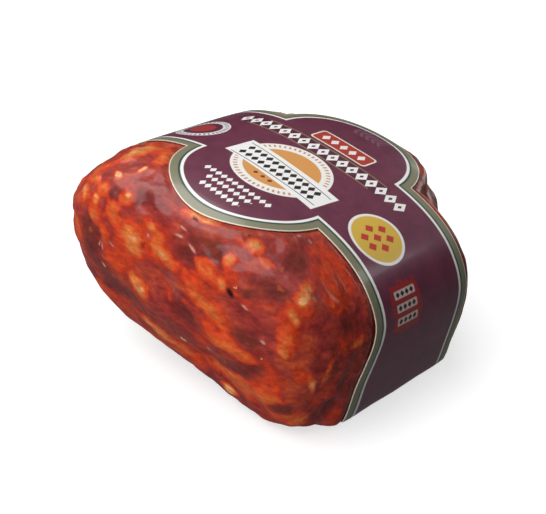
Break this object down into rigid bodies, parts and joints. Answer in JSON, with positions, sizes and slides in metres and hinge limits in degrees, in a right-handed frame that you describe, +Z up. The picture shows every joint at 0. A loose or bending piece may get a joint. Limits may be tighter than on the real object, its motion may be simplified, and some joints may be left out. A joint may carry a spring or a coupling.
{
  "type": "cured sausage",
  "caption": "Small pressed cured sausage of coarse pork, a soft loaf shape, with a printed paper label wrapped round its middle and round tongues of label on top",
  "frame": {"origin": "middle of the underside of the bounding box, on the surface the sausage lies on", "axes": "+X along the sausage towards its rounder end, +Y round the girth towards the higher side, +Z up, out of the top of the label"},
  "size_m": [0.0934, 0.0988, 0.0594],
  "materials": {
    "meat": "moist cured meat under a clear, tight film",
    "label_paper": "glossy coated printed paper"
  },
  "bodies": {
    "root": {"sausage": "meat", "label_band": "label_paper"}
  },
  "joints": []
}
